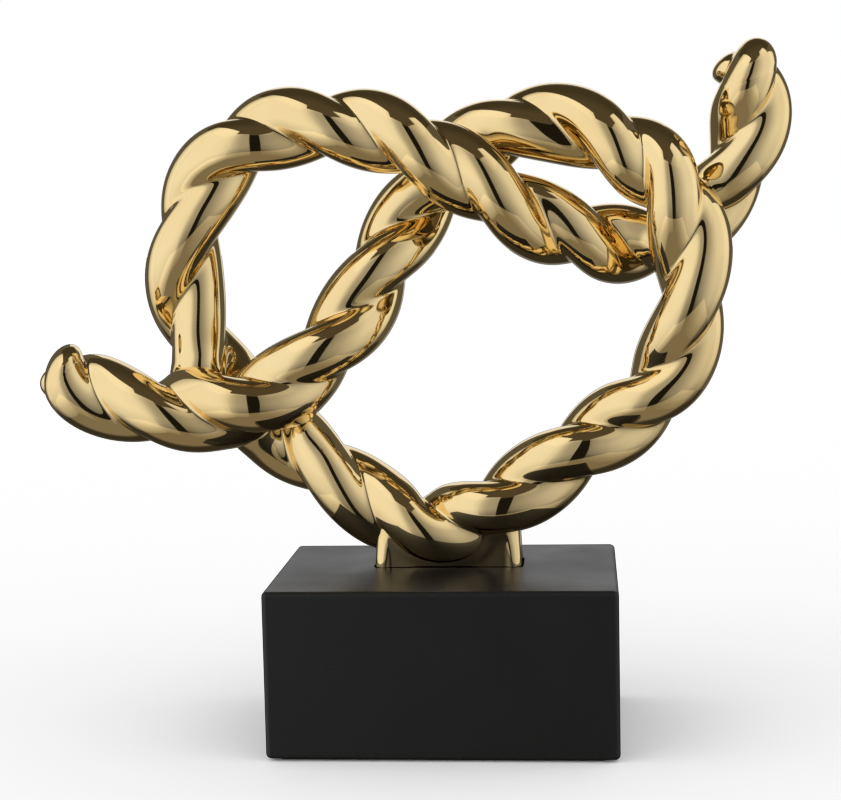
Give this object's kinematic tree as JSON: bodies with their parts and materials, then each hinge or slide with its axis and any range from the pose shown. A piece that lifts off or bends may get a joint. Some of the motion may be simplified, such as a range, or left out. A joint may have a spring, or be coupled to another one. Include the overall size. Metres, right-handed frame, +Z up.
{
  "type": "knot sculpture",
  "caption": "Polished gold twisted rope tied in an open overhand knot, standing by its foot in a slotted matt black block; a table-top ornament.",
  "frame": {"origin": "middle of the felt underside of the block, on the surface that the sculpture stands on", "axes": "+Z up, +X to the right as seen from the front, +Y to the back"},
  "size_m": [0.38, 0.12, 0.3426],
  "materials": {
    "polished_gold": "cast, gold plated, mirror polished",
    "matt_black": "matt black lacquer",
    "plain_brass": "machined",
    "zinc_plated_steel": "zinc plated",
    "black_felt": "pressed felt"
  },
  "bodies": {
    "root": {"rope_knot": "polished_gold", "base_block": "matt_black", "threaded_insert_left": "plain_brass", "threaded_insert_right": "plain_brass", "fixing_screw_left": "zinc_plated_steel", "fixing_screw_right": "zinc_plated_steel", "washer_left": "zinc_plated_steel", "washer_right": "zinc_plated_steel", "felt_pad": "black_felt"}
  },
  "joints": []
}
